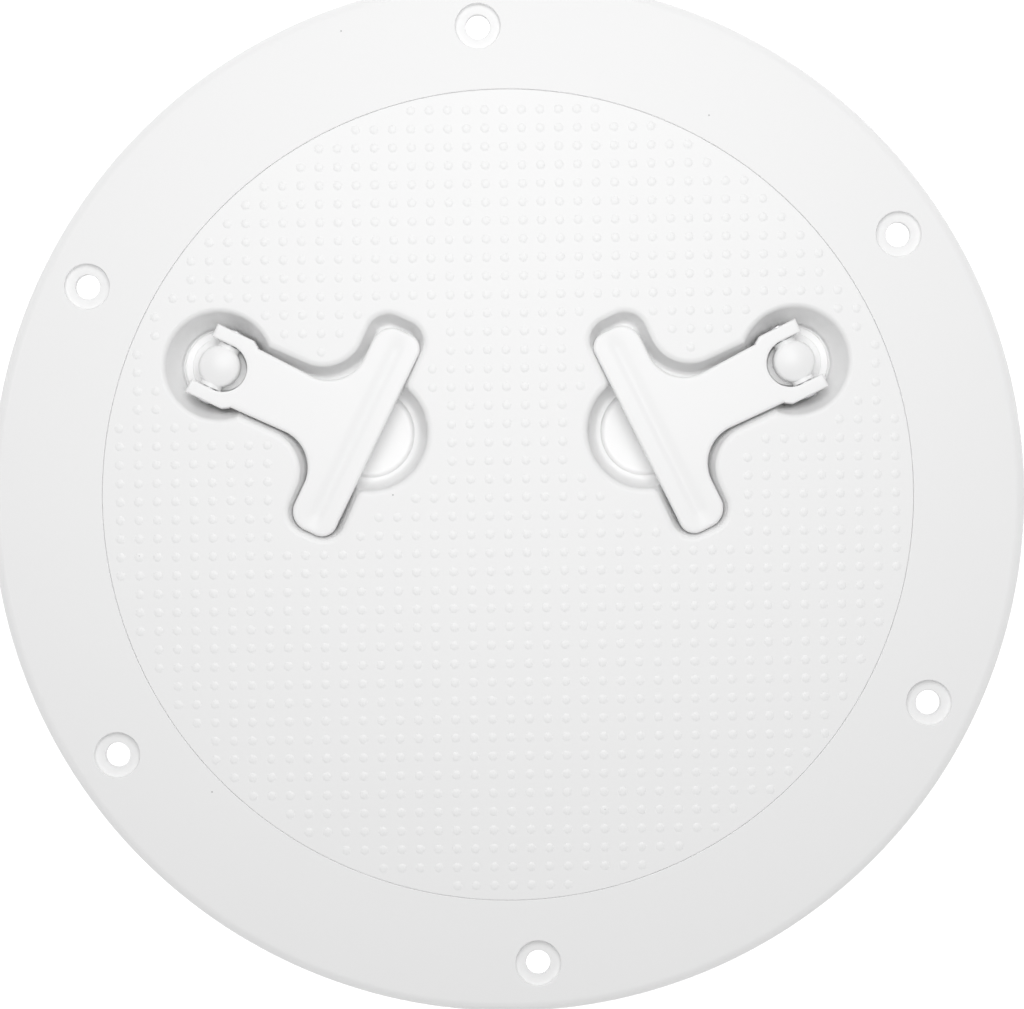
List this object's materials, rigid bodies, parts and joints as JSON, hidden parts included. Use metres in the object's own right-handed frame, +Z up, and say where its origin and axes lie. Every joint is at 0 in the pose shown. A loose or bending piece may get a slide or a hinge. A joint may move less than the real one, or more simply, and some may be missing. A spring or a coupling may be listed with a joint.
{
  "type": "deck inspection plate",
  "caption": "Round screw-down deck inspection plate: flanged ring with neck, flush studded lid, gasket and fold-down T-handles that lift and turn cams under the lip.",
  "frame": {"origin": "centre of the neck's lower edge, which is also the lowest plane of the part", "axes": "+Z up out of the deck, square to the flange; +Y toward twelve o'clock, midway between the latches; +X to the right when looked down on"},
  "size_m": [0.2818, 0.2818, 0.032],
  "materials": {
    "white_abs": "fine matte grain",
    "white_nylon": "satin moulded",
    "grey_nylon": "moulded",
    "black_rubber": "matte",
    "stainless": "bright"
  },
  "bodies": {
    "body": {"deck_frame": "white_abs", "lid": "white_abs", "lid_gasket": "black_rubber"},
    "left_spindle": {"left_spindle": "white_nylon", "left_shaft_seal": "black_rubber", "left_thrust_washer": "grey_nylon", "left_latch_cam": "grey_nylon", "left_cam_washer": "stainless", "left_lock_washer": "stainless", "left_cam_screw": "stainless"},
    "left_handle": {"left_handle": "white_nylon", "left_hinge_pin": "stainless"},
    "right_spindle": {"right_spindle": "white_nylon", "right_shaft_seal": "black_rubber", "right_thrust_washer": "grey_nylon", "right_latch_cam": "grey_nylon", "right_cam_washer": "stainless", "right_lock_washer": "stainless", "right_cam_screw": "stainless"},
    "right_handle": {"right_handle": "white_nylon", "right_hinge_pin": "stainless"}
  },
  "joints": [
    {"name": "left_handle_lift", "type": "hinge", "parent": "left_spindle", "child": "left_handle", "pos_m": [-0.07875, 0.03506, 0.027], "axis": [-0.4321, -0.9018, 0], "range_deg": [0, 90]},
    {"name": "left_latch_turn", "type": "hinge", "parent": "body", "child": "left_spindle", "pos_m": [-0.07875, 0.03506, 0.027], "axis": [0, 0, 1], "range_deg": [0, 90]},
    {"name": "right_handle_lift", "type": "hinge", "parent": "right_spindle", "child": "right_handle", "pos_m": [0.07812, 0.03643, 0.027], "axis": [-0.4478, 0.8942, 0], "range_deg": [0, 90]},
    {"name": "right_latch_turn", "type": "hinge", "parent": "body", "child": "right_spindle", "pos_m": [0.07812, 0.03643, 0.027], "axis": [0, 0, 1], "range_deg": [-90, 0]}
  ],
  "couplings": [
    {"joint": "left_latch_turn", "follows": "left_handle_lift", "ratio": 1},
    {"joint": "right_latch_turn", "follows": "right_handle_lift", "ratio": -1}
  ]
}
